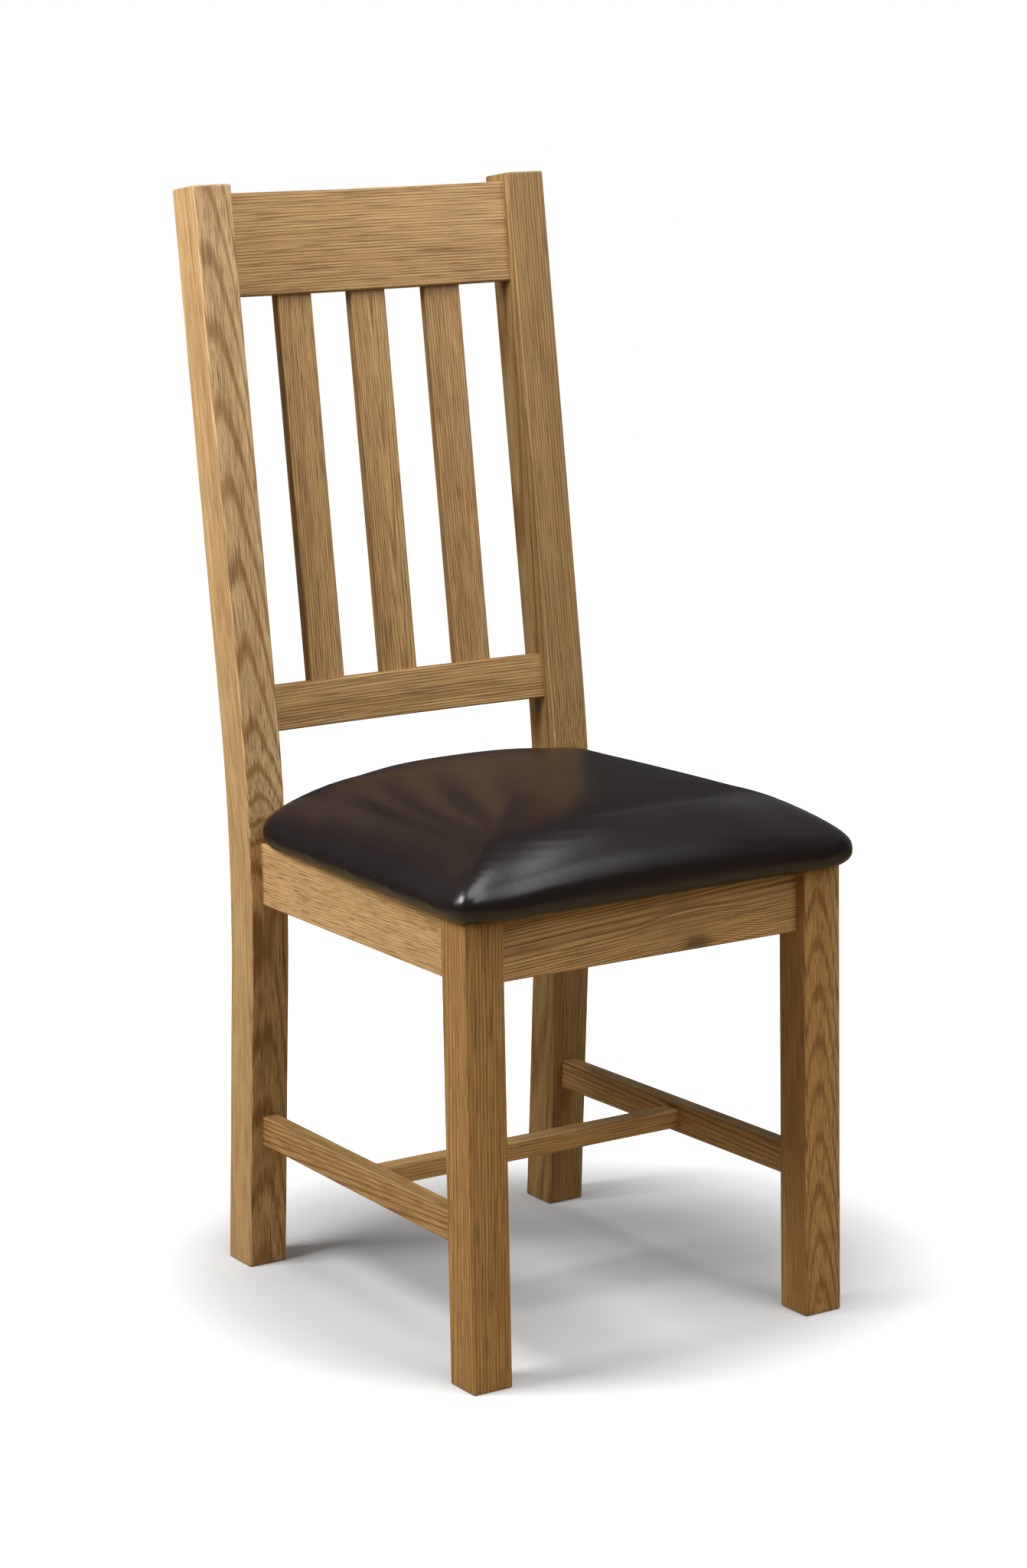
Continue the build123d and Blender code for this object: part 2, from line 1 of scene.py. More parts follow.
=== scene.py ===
import bpy
import numpy as np
from mathutils import Matrix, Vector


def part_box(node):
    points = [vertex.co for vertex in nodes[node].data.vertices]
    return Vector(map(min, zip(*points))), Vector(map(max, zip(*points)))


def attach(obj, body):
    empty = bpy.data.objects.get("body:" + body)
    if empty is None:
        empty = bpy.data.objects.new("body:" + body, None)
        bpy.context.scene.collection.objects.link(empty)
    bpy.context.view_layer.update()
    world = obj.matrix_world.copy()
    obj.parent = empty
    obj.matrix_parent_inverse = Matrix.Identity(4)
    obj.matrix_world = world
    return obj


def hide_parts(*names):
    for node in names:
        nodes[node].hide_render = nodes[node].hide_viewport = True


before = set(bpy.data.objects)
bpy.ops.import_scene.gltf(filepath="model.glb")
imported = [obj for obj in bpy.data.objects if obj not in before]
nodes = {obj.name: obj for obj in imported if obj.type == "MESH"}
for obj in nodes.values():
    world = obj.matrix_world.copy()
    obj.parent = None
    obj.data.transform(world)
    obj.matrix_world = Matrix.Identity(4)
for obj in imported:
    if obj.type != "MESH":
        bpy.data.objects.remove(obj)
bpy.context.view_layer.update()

# Front legs: square lengths of solid oak with eased edges, standing on their sawn ends.
# The rails are glued into mortises in them. Oak here is planed, sanded and clear lacquered,
# which leaves a satin gloss, fine dark pores along the grain and slow bands of growth rings.


def linear(hex_colour):
    """An sRGB hex colour as linear red, green, blue and an alpha of one."""
    share = np.array([int(hex_colour[i : i + 2], 16) for i in (1, 3, 5)]) / 255
    low = share / 12.92
    high = ((share + 0.055) / 1.055) ** 2.4
    return (*np.where(share <= 0.04045, low, high).tolist(), 1.0)


def add_node(tree, kind, settings=None, **links):
    """Adds a node. settings are its properties, and links fill its inputs by value or by socket.
    An input is named by its label with _ for a space, or by its number as in i1."""
    node = tree.nodes.new(kind)
    for key, value in (settings or {}).items():
        setattr(node, key, value)
    for key, value in links.items():
        name = int(key[1:]) if key[0] == "i" and key[1:].isdigit() else key.replace("_", " ")
        if isinstance(value, bpy.types.NodeSocket):
            tree.links.new(value, node.inputs[name])
        else:
            node.inputs[name].default_value = value
    return node


def new_finish(name):
    """An empty material with its node tree and its shader."""
    material = bpy.data.materials.new(name)
    material.use_nodes = True
    return material, material.node_tree, material.node_tree.nodes["Principled BSDF"]


def dress(piece, material):
    """Gives a piece this material in place of its own."""
    nodes[piece].data.materials.clear()
    nodes[piece].data.materials.append(material)


MILLIMETRE = 0.001
GRAIN_TURN = {"X": (0, -np.pi / 2, 0), "Y": (np.pi / 2, 0, 0), "Z": (0, 0, 0)}
# The wave texture's rings are this far apart at a scale of one.
WAVE_PERIOD = 0.314
# The figure is drawn out along the grain, and slid along it by the heart so that pieces differ.
LENGTHWAYS = 0.014
SLIDE = 130
PORE_COLOUR = "#5c3f20"
LACQUER_IOR = 1.5


def oak(
    piece, grain, heart, ring=2.8, tilt=(0.0, 0.0), lean=0.0,
    light="#bc9964", dark="#7f572b", follow=None, knot=None,
):
    """Lacquered oak for one piece. grain is the axis that the fibres follow, heart the place of the
    tree's middle from the middle of the piece in millimetres, ring the width of a year's growth in
    millimetres, tilt the slope of the fibres, which opens the rings into arches, and lean the slope
    of the piece. follow straightens a bent piece. knot is the place of a knot in metres and its
    radius: the rings swell round it and it is dark."""
    material, tree, shader = new_finish(f"oak_{piece}")
    low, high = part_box(piece)
    middle = (np.array(low) + np.array(high)) / 2
    chair = add_node(tree, "ShaderNodeTexCoord").outputs["Object"]
    place = follow(tree, chair) if follow else chair
    place = add_node(
        tree, "ShaderNodeVectorMath", {"operation": "SUBTRACT"}, i0=place, i1=middle.tolist()
    )
    turn = np.array(GRAIN_TURN[grain]) + (tilt[0] + lean, tilt[1], 0)
    place = add_node(
        tree, "ShaderNodeMapping", Vector=place.outputs[0], Rotation=turn.tolist(),
        Location=(heart[0] / 1000, heart[1] / 1000, heart[0] / SLIDE),
    )
    drawn = add_node(
        tree, "ShaderNodeVectorMath", {"operation": "MULTIPLY"},
        i0=place.outputs[0], i1=(1, 1, LENGTHWAYS),
    )
    rings = drawn
    if knot:
        # A knot is two and a half times as long as wide, and bends the rings out to 5 radii.
        spot, radius = np.array(knot[0]), knot[1]
        stretch = np.where(np.array(["X", "Y", "Z"]) == grain, 0.4, 1.0) / radius
        offset = add_node(
            tree, "ShaderNodeVectorMath", {"operation": "SUBTRACT"}, i0=chair, i1=spot.tolist()
        )
        offset = add_node(
            tree, "ShaderNodeVectorMath", {"operation": "MULTIPLY"},
            i0=offset.outputs[0], i1=stretch.tolist(),
        )
        gap = add_node(tree, "ShaderNodeVectorMath", {"operation": "LENGTH"}, i0=offset.outputs[0])
        swell = add_node(
            tree, "ShaderNodeMapRange", {"interpolation_type": "SMOOTHERSTEP"},
            Value=gap.outputs["Value"],
            From_Min=0.0, From_Max=5.0, To_Min=2.2 * radius, To_Max=0.0,
        )
        core = add_node(
            tree, "ShaderNodeMapRange", {"interpolation_type": "SMOOTHSTEP"},
            Value=gap.outputs["Value"],
            From_Min=0.3, From_Max=1.3, To_Min=0.8, To_Max=0.0,
        )
        away = np.array((heart[0], heart[1], 0)) / np.hypot(*heart)
        push = add_node(
            tree, "ShaderNodeVectorMath", {"operation": "SCALE"},
            i0=away.tolist(), Scale=swell.outputs[0],
        )
        rings = add_node(
            tree, "ShaderNodeVectorMath", {"operation": "ADD"},
            i0=drawn.outputs[0], i1=push.outputs[0],
        )
    years = add_node(
        tree, "ShaderNodeTexWave",
        {"wave_type": "RINGS", "rings_direction": "Z", "wave_profile": "SIN"},
        Vector=rings.outputs[0], Scale=WAVE_PERIOD / (ring / 1000), Distortion=2.2,
        Detail=2.0, Detail_Scale=0.4, Detail_Roughness=0.5,
    )
    bands = add_node(
        tree, "ShaderNodeMapRange", Value=years.outputs["Fac"],
        From_Min=0.6, From_Max=1.0, To_Min=0.0, To_Max=0.65,
    )
    drift_size = 30 * MILLIMETRE
    drift = add_node(
        tree, "ShaderNodeTexNoise", Vector=drawn.outputs[0], Scale=1 / drift_size, Detail=2.0
    )
    slow = add_node(
        tree, "ShaderNodeMapRange", Value=drift.outputs["Fac"],
        From_Min=0.3, From_Max=0.7, To_Min=-0.05, To_Max=0.35,
    )
    fibre_width = 1.2 * MILLIMETRE
    fibres = add_node(
        tree, "ShaderNodeTexNoise", Vector=drawn.outputs[0], Scale=1 / fibre_width, Detail=1.0
    )
    lines = add_node(
        tree, "ShaderNodeMapRange", Value=fibres.outputs["Fac"],
        From_Min=0.3, From_Max=0.7, To_Min=-0.18, To_Max=0.38,
    )
    shade = add_node(
        tree, "ShaderNodeMath", {"operation": "ADD"}, i0=bands.outputs[0], i1=slow.outputs[0]
    )
    shade = add_node(
        tree, "ShaderNodeMath", {"operation": "ADD", "use_clamp": True},
        i0=shade.outputs[0], i1=lines.outputs[0],
    )
    wood = add_node(
        tree, "ShaderNodeMix", {"data_type": "RGBA"},
        i0=shade.outputs[0], i6=linear(light), i7=linear(dark),
    )
    # Real pores are about 0.3 mm wide, too fine to show, so they are drawn wider.
    pore_width = 0.8 * MILLIMETRE
    pore_depth = 0.12 * MILLIMETRE
    pores = add_node(
        tree, "ShaderNodeTexNoise", Vector=drawn.outputs[0], Scale=1 / pore_width,
        Detail=2.0, Roughness=0.6,
    )
    streaks = add_node(
        tree, "ShaderNodeMapRange", Value=pores.outputs["Fac"],
        From_Min=0.50, From_Max=0.68, To_Min=0.0, To_Max=0.85,
    )
    darkest = streaks
    if knot:
        darkest = add_node(
            tree, "ShaderNodeMath", {"operation": "MAXIMUM"},
            i0=streaks.outputs[0], i1=core.outputs[0],
        )
    grained = add_node(
        tree, "ShaderNodeMix", {"data_type": "RGBA"},
        i0=darkest.outputs[0], i6=wood.outputs[2], i7=linear(PORE_COLOUR),
    )
    tree.links.new(grained.outputs[2], shader.inputs["Base Color"])
    dull = add_node(
        tree, "ShaderNodeMapRange", Value=streaks.outputs[0],
        From_Min=0.0, From_Max=1.0, To_Min=0.38, To_Max=0.6,
    )
    tree.links.new(dull.outputs[0], shader.inputs["Roughness"])
    relief = add_node(
        tree, "ShaderNodeBump", {"invert": True},
        Height=streaks.outputs[0], Strength=0.5, Distance=pore_depth,
    )
    tree.links.new(relief.outputs["Normal"], shader.inputs["Normal"])
    shader.inputs["IOR"].default_value = LACQUER_IOR
    dress(piece, material)


# The front legs' browns are darker and more saturated than the upper oak: partly a browner wood, and
# partly painted shade for the dim, warm light low under the seat.
oak("front_leg_left", "Z", heart=(70, -30), tilt=(0.012, -0.02), light="#b38c54", dark="#875f2e")
oak(
    "front_leg_right", "Z", heart=(4, -26), ring=2.4, tilt=(0.05, 0.012),
    light="#b48d54", dark="#835b2d",
)

# Rear posts: one oak plank each, sawn to a bend at the seat and carried up past the top rail.
# The fibres follow the plank, so the pattern is carried back along its two straight stretches.
BEND_HEIGHT = 0.432
LEG_SPLAY = np.radians(4.6)
BACK_RAKE = np.radians(6.9)


def along_the_post(tree, place):
    """Object coordinates with Y measured from a line that leans back above and below the bend:
    Y less the height over the bend times the rake, less the depth under it times the splay."""
    parts = add_node(tree, "ShaderNodeSeparateXYZ", Vector=place)
    above = add_node(
        tree, "ShaderNodeMapRange", Value=parts.outputs["Z"],
        From_Min=BEND_HEIGHT, From_Max=BEND_HEIGHT + 1, To_Min=0.0, To_Max=np.tan(BACK_RAKE),
    )
    below = add_node(
        tree, "ShaderNodeMapRange", Value=parts.outputs["Z"],
        From_Min=BEND_HEIGHT, From_Max=BEND_HEIGHT - 1, To_Min=0.0, To_Max=np.tan(LEG_SPLAY),
    )
    leant = add_node(
        tree, "ShaderNodeMath", {"operation": "SUBTRACT"},
        i0=parts.outputs["Y"], i1=above.outputs[0],
    )
    leant = add_node(
        tree, "ShaderNodeMath", {"operation": "SUBTRACT"}, i0=leant.outputs[0], i1=below.outputs[0]
    )
    upright = add_node(
        tree, "ShaderNodeCombineXYZ",
        X=parts.outputs["X"], Y=leant.outputs[0], Z=parts.outputs["Z"],
    )
    return upright.outputs[0]


# The left post's light colour is paler than the other oak: a painted sheen for the lacquer's shine
# under the lamp on its left.
oak(
    "rear_post_left", "Z", heart=(10, -40), ring=2.3, tilt=(0.03, 0.01), follow=along_the_post,
    light="#c6a676", dark="#8b6537",
)
# The right post's browns are darker than the other oak: painted shade for its front and inner face,
# which the back and the left post keep from the lamps.
oak(
    "rear_post_right", "Z", heart=(-70, 30), tilt=(0.01, 0.015), follow=along_the_post,
    light="#a88756", dark="#77552b",
)

# Seat rails: oak boards on edge, tenoned into the legs and posts to make the seat frame.
# Their grain runs along them, and the front one is cut near the heart and has a small knot.
# The front rail's light colour is lifted above the other oak: painted light that makes up for the
# shade of the pad over its face. Its knot is real.
oak(
    "front_seat_rail", "X", heart=(6, 26), ring=2.2, tilt=(0.0, 0.06),
    light="#cfa970", dark="#75502a", knot=((0.053, -0.242, 0.384), 0.008),
)
oak("rear_seat_rail", "X", heart=(60, 30))
oak(
    "side_seat_rail_left", "Y", heart=(20, 95), ring=3.0, tilt=(0.012, 0.0),
    light="#caa876", dark="#a68150",
)
oak("side_seat_rail_right", "Y", heart=(-65, 24))

# Stretchers: thinner oak bars that tie each front leg to the post behind it, and a cross bar
# tenoned between the two.
oak("side_stretcher_left", "Y", heart=(50, -24), tilt=(0.02, 0.0))
oak("side_stretcher_right", "Y", heart=(-40, 30), tilt=(-0.015, 0.01))
oak("cross_stretcher", "X", heart=(34, 22), tilt=(0.0, 0.012), light="#cfaa70", dark="#9a703c")

# Back rails: the wide top rail and the narrow lower rail, sawn to a shallow curve, tenoned
# between the posts and mortised for the slats. Both are straight-grained along the curve.
RAIL_BOW = 0.009
RAIL_HALF = 0.158


def along_the_bow(tree, place):
    """Object coordinates with Y straightened: Y plus the bow times the square of X over the half
    length."""
    parts = add_node(tree, "ShaderNodeSeparateXYZ", Vector=place)
    square = add_node(
        tree, "ShaderNodeMath", {"operation": "MULTIPLY"},
        i0=parts.outputs["X"], i1=parts.outputs["X"],
    )
    straight = add_node(
        tree, "ShaderNodeMath", {"operation": "MULTIPLY_ADD"},
        i0=square.outputs[0], i1=RAIL_BOW / RAIL_HALF**2, i2=parts.outputs["Y"],
    )
    level = add_node(
        tree, "ShaderNodeCombineXYZ",
        X=parts.outputs["X"], Y=straight.outputs[0], Z=parts.outputs["Z"],
    )
    return level.outputs[0]


oak("top_rail", "X", heart=(160, 30), tilt=(0.0, 0.006), follow=along_the_bow)
oak(
    "lower_back_rail", "X", heart=(90, 30), tilt=(0.0, 0.012), follow=along_the_bow,
    light="#c8a36a",
)

# Back slats: thin oak strips between the two back rails, held by short tenons at both ends.
# Each is cut from another place in the tree, and they lean back with the posts.
for number, heart in ((1, (40, 30)), (2, (-4, 13)), (3, (52, -30))):
    oak(f"back_slat_{number}", "Z", heart=heart, ring=2.4, tilt=(0.02, 0.012), lean=BACK_RAKE)

# Corner blocks: oak offcuts that brace the seat frame from inside. Each goes round the inner
# corner of a leg or post, is screwed to it, and takes a screw up into the seat board.
for end in ("front", "rear"):
    for side in ("left", "right"):
        oak(f"corner_block_{end}_{side}", "X", heart=(30, 20), light="#a98859", dark="#8a673b")

# Seat board: birch plywood under the foam, held by the screws that come up through the blocks.
# Its sawn edge shows the plies as light and dark lines.
PLY = 1.5 * MILLIMETRE
PLY_DRAWN_OUT = (1, 0.05, 1)
plywood, tree, shader = new_finish("birch_plywood")
place = add_node(tree, "ShaderNodeTexCoord").outputs["Object"]
drawn = add_node(
    tree, "ShaderNodeVectorMath", {"operation": "MULTIPLY"}, i0=place, i1=PLY_DRAWN_OUT
)
veneer = add_node(tree, "ShaderNodeTexNoise", Vector=drawn.outputs[0], Scale=1 / PLY, Detail=3.0)
tint = add_node(
    tree, "ShaderNodeMix", {"data_type": "RGBA"},
    i0=veneer.outputs["Fac"], i6=linear("#d2b98e"), i7=linear("#b0926a"),
)
tree.links.new(tint.outputs[2], shader.inputs["Base Color"])
shader.inputs["Roughness"].default_value = 0.65
dress("seat_board", plywood)

# Lining: black spun-bonded cloth stapled under the seat to hide the board.
# Pressed fibres give it a dull, finely speckled face.
BOND = 1.6 * MILLIMETRE
lining, tree, shader = new_finish("spun_bonded_lining")
place = add_node(tree, "ShaderNodeTexCoord").outputs["Object"]
dots = add_node(tree, "ShaderNodeTexVoronoi", Vector=place, Scale=1 / BOND)
tint = add_node(
    tree, "ShaderNodeMix", {"data_type": "RGBA"},
    i0=dots.outputs["Distance"], i6=linear("#2b2b2c"), i7=linear("#161617"),
)
tree.links.new(tint.outputs[2], shader.inputs["Base Color"])
shader.inputs["Roughness"].default_value = 0.9
dress("seat_lining", lining)

# Screws and staples: zinc-plated steel that holds the blocks, the board and the lining.
# Drawn wire and thin plating leave a slightly streaked, dull shine.
STREAK = 2 * MILLIMETRE
steel, tree, shader = new_finish("zinc_plated_steel")
place = add_node(tree, "ShaderNodeTexCoord").outputs["Object"]
bloom = add_node(tree, "ShaderNodeTexNoise", Vector=place, Scale=1 / STREAK, Detail=2.0)
dull = add_node(
    tree, "ShaderNodeMapRange", Value=bloom.outputs["Fac"],
    From_Min=0.3, From_Max=0.7, To_Min=0.28, To_Max=0.48,
)
tree.links.new(dull.outputs[0], shader.inputs["Roughness"])
shader.inputs["Base Color"].default_value = linear("#c4c6ca")
shader.inputs["Metallic"].default_value = 1.0
for name in ("block_screws", "seat_screws", "lining_staples"):
    dress(name, steel)

# Seat pad: foam on the board under a cover of dark brown leatherette, which is pulled down
# over the edges, folded under and stapled. The foam domes it, the fold draws its edge in, and
# the corners are pinched where the cover is gathered.
pad_low, pad_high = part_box("seat_cover")
PAD_BASE = pad_low.z
PAD_EDGE = 0.016
PAD_DRAW_IN = 0.014
PAD_CROWN = 0.065
PAD_FLAP = 0.056
PAD_FLAP_THICKNESS = 0.001
PAD_HALF_FRONT = 0.2245
PAD_HALF_REAR = 0.2005
PAD_CORNER = 20.0
AROUND = 288
DOME_RINGS = 64
ROLL_RINGS = 8
FLAP_RINGS = 5
FIRST_RING = 0.02
RING_CROWDING = 2.4
CORNER_SOFTNESS = 7.0
CORNER_REACH = 24


def pad_surface(slack):
    """The pad, lower by the slack, as rings about its middle. A ring is a rounded square, whose two
    coordinates to the power PAD_CORNER add up to one, scaled by its share of the way out. Its
    height is the crown times (1 - across^2.94)^0.57 (1 - along^4.65)^0.29, taken on the square that
    the ring rounds and then averaged round the ring, which softens the ridges at the corners.
    Past the widest line the edge rolls down and in on a quarter ellipse to the flap beneath."""
    turn = np.linspace(0, 2 * np.pi, AROUND, endpoint=False)
    cos, sin = np.cos(turn), np.sin(turn)
    square = np.stack([cos, sin]) / np.maximum(np.abs(cos), np.abs(sin))
    reach = (np.abs(cos) ** PAD_CORNER + np.abs(sin) ** PAD_CORNER) ** (-1 / PAD_CORNER)
    outline = np.stack([cos, sin]) * reach
    share = 1 - (1 - np.linspace(FIRST_RING, 1, DOME_RINGS)) ** RING_CROWDING
    across, along = np.abs(share[None, :, None] * square[:, None, :])
    dome = (1 - across**2.94).clip(0) ** 0.57 * (1 - along**4.65).clip(0) ** 0.29
    steps = range(-CORNER_REACH, CORNER_REACH + 1)
    weight = np.exp(-0.5 * (np.array(steps) / CORNER_SOFTNESS) ** 2)
    dome = sum(w * np.roll(dome, step, 1) for w, step in zip(weight / weight.sum(), steps))
    roll = np.radians(np.linspace(90, 0, ROLL_RINGS + 1)[1:])
    flap = np.linspace(0, PAD_FLAP, FLAP_RINGS + 1)[1:]
    inset = np.concatenate([
        np.zeros(DOME_RINGS),
        PAD_DRAW_IN * (1 - np.sin(roll)),
        PAD_DRAW_IN + flap,
        [PAD_DRAW_IN + PAD_FLAP],
    ])
    share = np.concatenate([share, np.ones(ROLL_RINGS + FLAP_RINGS + 1)])
    height = np.concatenate([
        PAD_BASE + PAD_EDGE + (PAD_CROWN - slack) * dome,
        np.repeat((PAD_BASE + PAD_EDGE * (1 - np.cos(roll)))[:, None], AROUND, 1),
        np.full((FLAP_RINGS, AROUND), PAD_BASE),
        np.full((1, AROUND), PAD_BASE + PAD_FLAP_THICKNESS),
    ])
    half_depth = (pad_high.y - pad_low.y) / 2
    y = outline[1] * (half_depth * share[:, None] - inset[:, None])
    half_mean = (PAD_HALF_FRONT + PAD_HALF_REAR) / 2
    half_taper = (PAD_HALF_FRONT - PAD_HALF_REAR) / 2
    half_width = half_mean - half_taper * y / half_depth
    x = outline[0] * (half_width * share[:, None] - inset[:, None])
    return np.stack([x, y + (pad_high.y + pad_low.y) / 2, height], -1)


def ringed_mesh(name, rings):
    """A closed mesh of rings joined by quads, with a point at the middle of the first and last."""
    count, around = rings.shape[:2]
    points = np.concatenate([rings.reshape(-1, 3), [rings[0].mean(0), rings[-1].mean(0)]])
    row, column = np.meshgrid(np.arange(count - 1), np.arange(around), indexing="ij")
    after = (column + 1) % around
    here, below = row * around, (row + 1) * around
    quads = np.stack([here + column, below + column, below + after, here + after], -1)
    spoke = np.arange(around)
    top = np.stack([np.full(around, count * around), spoke, (spoke + 1) % around], -1)
    last = (count - 1) * around
    base = np.stack(
        [np.full(around, count * around + 1), last + (spoke + 1) % around, last + spoke], -1
    )
    mesh = bpy.data.meshes.new(name)
    mesh.from_pydata(
        points.tolist(), [], quads.reshape(-1, 4).tolist() + top.tolist() + base.tolist()
    )
    mesh.shade_smooth()
    return mesh


PAD_SLACK = 0.004
PAD_SETTLE = 0.005
PAD_HELD = 0.008
CLOTH_VOXEL = 0.0045
CLOTH_PRESSURE = 4.0
CLOTH_STEPS = 20
FOAM_EVENINGS = 40
SMOOTHING_PULLS = (0.5, -0.52) * 8


def settle(piece, most):
    """The cover as cloth with air pressure inside, on an even mesh. The fold under the edge is held,
    and no point moves further than `most`. The moves are then averaged over the neighbours, as the
    foam evens them out, and the points drawn to their neighbours and back."""
    even = piece.modifiers.new("even_mesh", "REMESH")
    even.mode = "VOXEL"
    even.voxel_size = CLOTH_VOXEL
    even.use_smooth_shade = True
    graph = bpy.context.evaluated_depsgraph_get()
    piece.data = bpy.data.meshes.new_from_object(piece.evaluated_get(graph))
    piece.modifiers.remove(even)
    rest = np.empty(len(piece.data.vertices) * 3)
    piece.data.vertices.foreach_get("co", rest)
    held = piece.vertex_groups.new(name="held")
    held.add(np.flatnonzero(rest[2::3] < PAD_BASE + PAD_HELD).tolist(), 1.0, "REPLACE")
    cloth = piece.modifiers.new("cover", "CLOTH")
    cloth.settings.vertex_group_mass = "held"
    cloth.settings.use_pressure = True
    cloth.settings.uniform_pressure_force = CLOTH_PRESSURE
    cloth.settings.effector_weights.gravity = 0.0
    for step in range(1, CLOTH_STEPS + 1):
        bpy.context.scene.frame_set(step)
    settled = np.empty_like(rest)
    graph = bpy.context.evaluated_depsgraph_get()
    piece.evaluated_get(graph).data.vertices.foreach_get("co", settled)
    piece.modifiers.remove(cloth)
    bpy.context.scene.frame_set(1)
    move = (settled - rest).reshape(-1, 3)
    far = np.linalg.norm(move, axis=1, keepdims=True)
    move = move * np.minimum(1, most / np.maximum(far, most / 100))
    edges = np.empty(len(piece.data.edges) * 2, dtype=int)
    piece.data.edges.foreach_get("vertices", edges)
    edges = edges.reshape(-1, 2)
    one, other = np.concatenate([edges, edges[:, ::-1]]).T
    count = np.bincount(one)[:, None]

    def nearby(values):
        """The mean of each point's neighbours."""
        sums = [np.bincount(one, values[other, axis]) for axis in range(3)]
        return np.stack(sums, 1) / count

    for evening in range(FOAM_EVENINGS):
        move = (move + nearby(move)) / 2
    place = rest.reshape(-1, 3) + move
    for pull in SMOOTHING_PULLS:
        place = place + pull * (nearby(place) - place)
    piece.data.vertices.foreach_set("co", place.ravel())
    piece.data.update()
    smooth = piece.modifiers.new("smooth", "SUBSURF")
    smooth.levels = smooth.render_levels = 1


pad = bpy.data.objects.new("seat_pad", ringed_mesh("seat_pad", pad_surface(PAD_SLACK)))
bpy.context.scene.collection.objects.link(pad)
settle(pad, most=PAD_SETTLE)

# Leatherette is a plastic film with a pressed grain on a cloth back, so its shine is soft and
# slightly broken. The pressed grain is finer than 1 mm, so it is drawn coarser to show.
PEBBLE = 3.5 * MILLIMETRE
PEBBLE_HEIGHT = 0.4 * MILLIMETRE
CREASE = 50 * MILLIMETRE
CREASE_HEIGHT = 2 * MILLIMETRE
leatherette, tree, shader = new_finish("brown_leatherette")
place = add_node(tree, "ShaderNodeTexCoord").outputs["Object"]
pebbles = add_node(tree, "ShaderNodeTexNoise", Vector=place, Scale=1 / PEBBLE, Detail=1.0)
creases = add_node(tree, "ShaderNodeTexNoise", Vector=place, Scale=1 / CREASE, Detail=1.0)
# The brown is a little darker in the hollows of the creases: painted shade.
tint = add_node(
    tree, "ShaderNodeMix", {"data_type": "RGBA"},
    i0=creases.outputs["Fac"], i6=linear("#130b0c"), i7=linear("#191011"),
)
tree.links.new(tint.outputs[2], shader.inputs["Base Color"])
gloss = add_node(
    tree, "ShaderNodeMapRange", Value=creases.outputs["Fac"],
    From_Min=0.3, From_Max=0.7, To_Min=0.27, To_Max=0.30,
)
tree.links.new(gloss.outputs[0], shader.inputs["Roughness"])
fine = add_node(
    tree, "ShaderNodeBump", Height=pebbles.outputs["Fac"], Strength=0.06, Distance=PEBBLE_HEIGHT
)
relief = add_node(
    tree, "ShaderNodeBump", Height=creases.outputs["Fac"], Strength=0.05, Distance=CREASE_HEIGHT,
    Normal=fine.outputs["Normal"],
)
tree.links.new(relief.outputs["Normal"], shader.inputs["Normal"])
shader.inputs["IOR"].default_value = 1.5
pad.data.materials.append(leatherette)
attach(pad, "root")
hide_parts("seat_cover", "seat_foam")

# Floor: a plain white paper sweep that the chair stands on. It takes the soft shadow near the
# chair, and light of its own that only the camera sees lifts it to white further out.
# The light that it throws back on the chair is dimmer and warmer than it looks.
FLOOR_HALF = 6.0
SHADOW_END = 0.22
WHITE_START = 0.62
WHITE = (1, 1, 1, 1)
corners = np.array([(-1, -1, 0), (1, -1, 0), (1, 1, 0), (-1, 1, 0)]) * FLOOR_HALF
floor_mesh = bpy.data.meshes.new("floor")
floor_mesh.from_pydata(corners.tolist(), [], [(0, 1, 2, 3)])
floor = bpy.data.objects.new("floor", floor_mesh)
bpy.context.scene.collection.objects.link(floor)
paper, tree, shader = new_finish("white_paper")
shader.inputs["Roughness"].default_value = 1.0
shader.inputs["Specular IOR Level"].default_value = 0.0
seen = add_node(tree, "ShaderNodeLightPath").outputs["Is Camera Ray"]
tint = add_node(
    tree, "ShaderNodeMix", {"data_type": "RGBA"}, i0=seen, i6=linear("#ac9672"), i7=linear("#d0d0d0")
)
tree.links.new(tint.outputs[2], shader.inputs["Base Color"])
shader.inputs["Emission Color"].default_value = WHITE
place = add_node(tree, "ShaderNodeTexCoord").outputs["Object"]
away = add_node(tree, "ShaderNodeVectorMath", {"operation": "LENGTH"}, i0=place)
fade = add_node(
    tree, "ShaderNodeMapRange", {"interpolation_type": "SMOOTHSTEP"}, Value=away.outputs["Value"],
    From_Min=SHADOW_END, From_Max=WHITE_START, To_Min=0.0, To_Max=1.0,
)
lift = add_node(tree, "ShaderNodeMath", {"operation": "MULTIPLY"}, i0=seen, i1=fade.outputs[0])
tree.links.new(lift.outputs[0], shader.inputs["Emission Strength"])
floor_mesh.materials.append(paper)

# Light: a soft lamp near on the left, a large one overhead, one in front and a weak, very large
# one on the right, in a dim room that is a little brighter on the left. The camera alone sees
# the room as white.
ROOM_LEFT = 0.12
ROOM_RIGHT = 0.06
world = bpy.data.worlds.new("studio")
bpy.context.scene.world = world
world.use_nodes = True
tree = world.node_tree
room = tree.nodes["Background"]
way = add_node(tree, "ShaderNodeTexCoord").outputs["Generated"]
parts = add_node(tree, "ShaderNodeSeparateXYZ", Vector=way)
level = add_node(
    tree, "ShaderNodeMapRange", Value=parts.outputs["X"],
    From_Min=-1.0, From_Max=1.0, To_Min=ROOM_LEFT, To_Max=ROOM_RIGHT,
)
seen = add_node(tree, "ShaderNodeLightPath").outputs["Is Camera Ray"]
strength = add_node(
    tree, "ShaderNodeMix", {"data_type": "FLOAT"}, i0=seen, i2=level.outputs[0], i3=1.0
)
room.inputs["Color"].default_value = WHITE
tree.links.new(strength.outputs[0], room.inputs["Strength"])
CHAIR_MIDDLE = np.array((0, 0, 0.6))


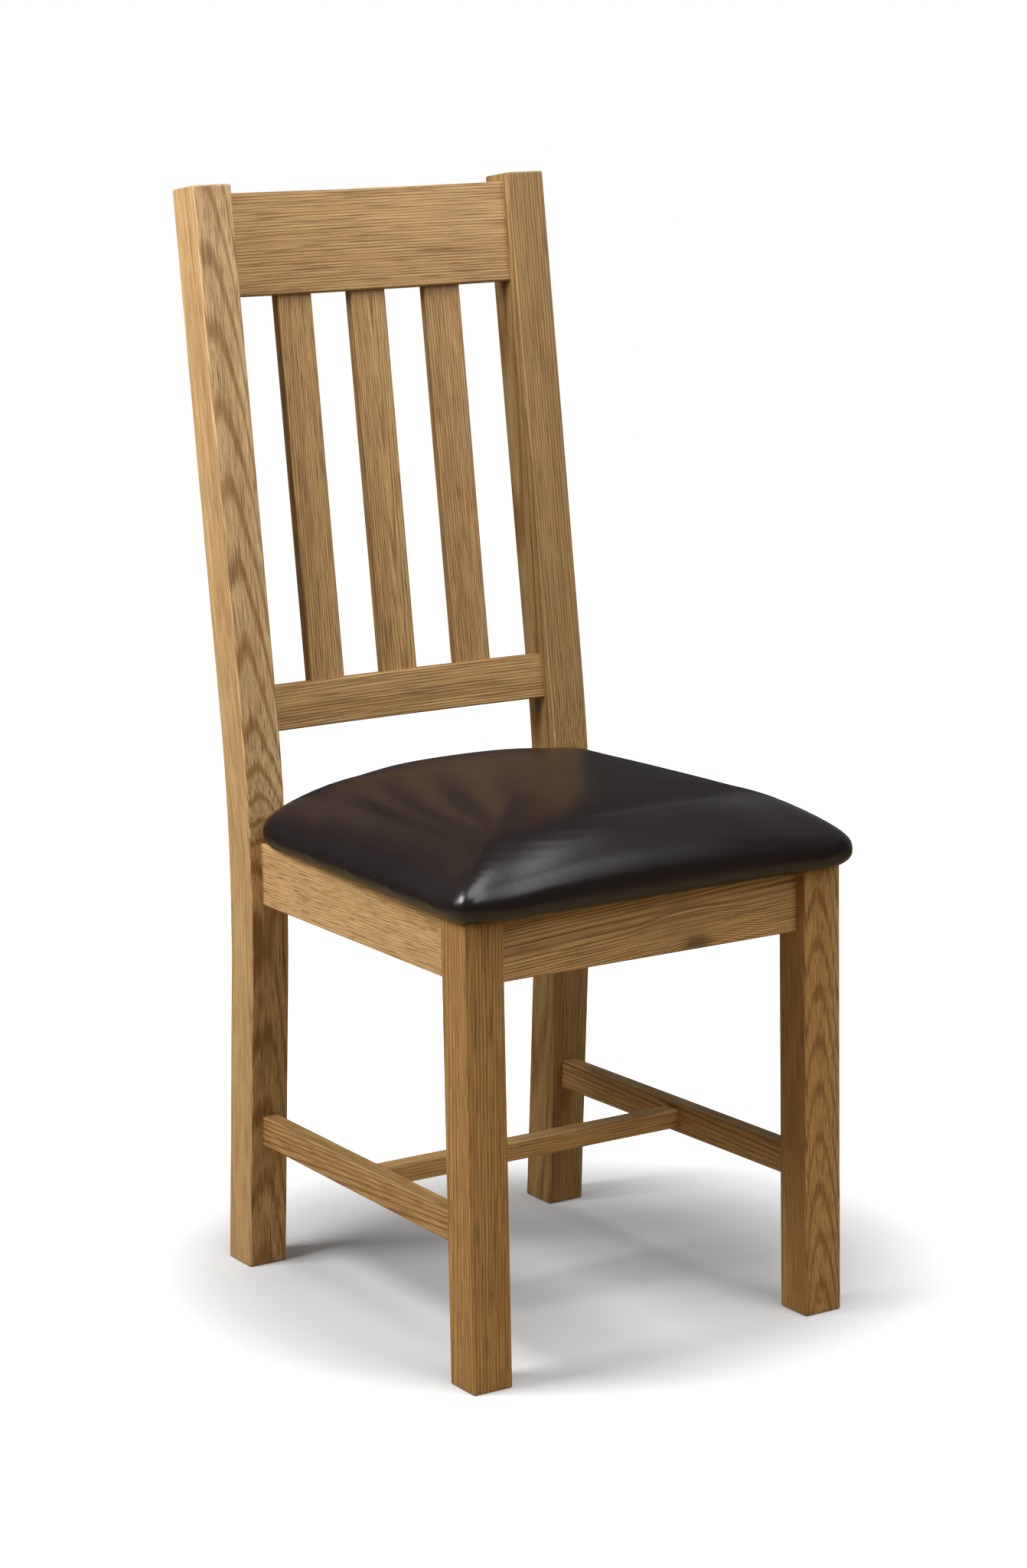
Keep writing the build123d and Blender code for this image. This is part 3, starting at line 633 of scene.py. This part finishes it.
def lamp(name, place, size, watts):
    """A square area lamp, turned towards the middle of the chair."""
    data = bpy.data.lights.new(name, "AREA")
    data.size = size
    data.energy = watts
    back = np.array(place) - CHAIR_MIDDLE
    back = back / np.linalg.norm(back)
    right = np.cross((0, 0, 1), back)
    right = right / np.linalg.norm(right)
    matrix = np.eye(4)
    matrix[:3, :3] = np.stack([right, np.cross(back, right), back], 1)
    matrix[:3, 3] = place
    obj = bpy.data.objects.new(name, data)
    obj.matrix_world = Matrix(matrix)
    bpy.context.scene.collection.objects.link(obj)


lamp("left", place=(-1.4, 0.2, 1.55), size=0.85, watts=37)
lamp("overhead", place=(-0.1, -0.7, 2.45), size=1.6, watts=34)
lamp("right", place=(2.1, 0.1, 1.4), size=3.2, watts=8)
lamp("front", place=(0.5, -2.4, 2.2), size=1.6, watts=30)

# Camera: at the photograph's place, worked out from the corners of the legs, rails and posts.
# The turns are its yaw to the right, its pitch down and its roll, in degrees.
PHOTO_WIDTH = 1342
FOCAL_PIXELS = 4928.3
SENSOR = 36.0
CAMERA_TURNS = (32.072, 11.262, 1.093)
CAMERA_PLACE = (-1.8954, -3.0347, 1.2141)
FAR_CLIP = 50
yaw, pitch, roll = np.radians(CAMERA_TURNS)
ahead = np.array((np.sin(yaw) * np.cos(pitch), np.cos(yaw) * np.cos(pitch), -np.sin(pitch)))
right = np.array((np.cos(yaw), -np.sin(yaw), 0))
down = np.cross(ahead, right)
level_right = np.cos(roll) * right + np.sin(roll) * down
level_down = np.cos(roll) * down - np.sin(roll) * right
matrix = np.eye(4)
matrix[:3, :3] = np.stack([level_right, -level_down, -ahead], 1)
matrix[:3, 3] = CAMERA_PLACE
camera_data = bpy.data.cameras.new("camera")
camera_data.sensor_fit = "HORIZONTAL"
camera_data.sensor_width = SENSOR
camera_data.lens = FOCAL_PIXELS / PHOTO_WIDTH * SENSOR
camera_data.clip_end = FAR_CLIP
camera = bpy.data.objects.new("camera", camera_data)
camera.matrix_world = Matrix(matrix)
bpy.context.scene.collection.objects.link(camera)
bpy.context.scene.camera = camera
bpy.context.scene.view_settings.view_transform = "Standard"
